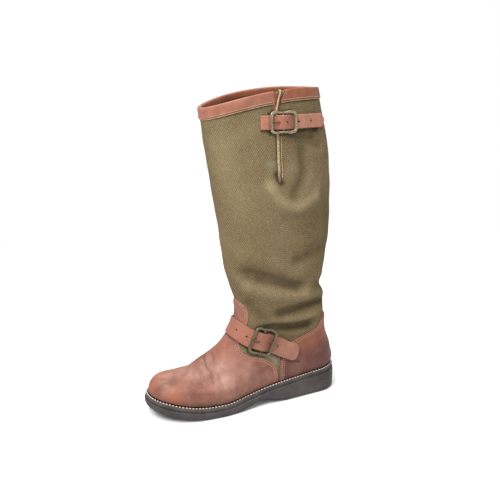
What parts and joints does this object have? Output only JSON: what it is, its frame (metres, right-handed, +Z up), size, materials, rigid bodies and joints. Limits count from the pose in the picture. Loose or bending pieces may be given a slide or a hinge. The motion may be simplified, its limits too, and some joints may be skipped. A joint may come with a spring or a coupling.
{
  "type": "boot",
  "caption": "Left pull-on field boot: leather foot, tall cloth shaft, leather collar band, buckled straps at collar and ankle, thick rubber sole.",
  "frame": {"origin": "on the floor under the middle of the heel tread", "axes": "+Z up, the toe along -Y, the outer side of the left foot along +X"},
  "size_m": [0.114, 0.312, 0.4756],
  "materials": {
    "sole_rubber": "matt moulded rubber, dusty",
    "welt_rubber": "smooth worn edge with pale stitches",
    "insole_leather": "matt",
    "shaft_cloth": "coarse twill, matt",
    "foot_leather": "worn, half matt, scuffed",
    "collar_leather": "worn, half matt",
    "strap_leather": "smooth, half matt",
    "buckle_metal": "aged, dull"
  },
  "bodies": {
    "root": {"outsole": "sole_rubber", "welt": "welt_rubber", "insole": "insole_leather", "upper": "shaft_cloth", "vamp": "foot_leather", "counter": "foot_leather", "collar_band": "collar_leather", "gusset_piping": "shaft_cloth", "top_strap": "strap_leather", "top_chape": "strap_leather", "top_buckle": "buckle_metal", "top_prong": "buckle_metal", "ankle_strap": "strap_leather", "ankle_chape": "strap_leather", "ankle_buckle": "buckle_metal", "ankle_prong": "buckle_metal"}
  },
  "joints": []
}
